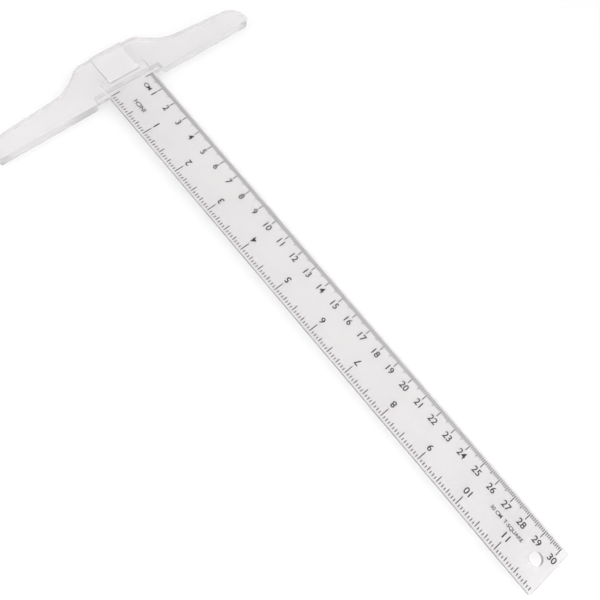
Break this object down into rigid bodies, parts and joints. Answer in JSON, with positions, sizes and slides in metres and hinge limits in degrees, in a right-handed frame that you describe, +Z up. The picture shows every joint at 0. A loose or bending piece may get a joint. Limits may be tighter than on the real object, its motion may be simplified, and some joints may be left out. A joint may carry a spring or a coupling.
{
  "type": "t square",
  "caption": "Small clear plastic drafting T-square: a moulded head with a deep working lip and a graduated blade that plugs into the head's socket.",
  "frame": {"origin": "where the blade's centreline meets the working edge, on the blade's underside: the point on the top edge of the drawing board that the square is lined up on", "axes": "+X along the blade to its free end, +Y towards the metric edge, +Z up, away from the drawing board"},
  "size_m": [0.3274, 0.151, 0.007],
  "materials": {
    "head_plastic": "clear moulded polystyrene with a slightly matt skin",
    "blade_plastic": "clear polished sheet",
    "black_ink": "printed black ink"
  },
  "bodies": {
    "head": {"head": "head_plastic"},
    "blade": {"blade": "blade_plastic", "metric_graduations": "black_ink", "inch_graduations": "black_ink"}
  },
  "joints": [
    {"name": "blade_plug", "type": "slide", "parent": "head", "child": "blade", "axis": [1, 0, 0], "range_m": [0, 0.016]}
  ]
}
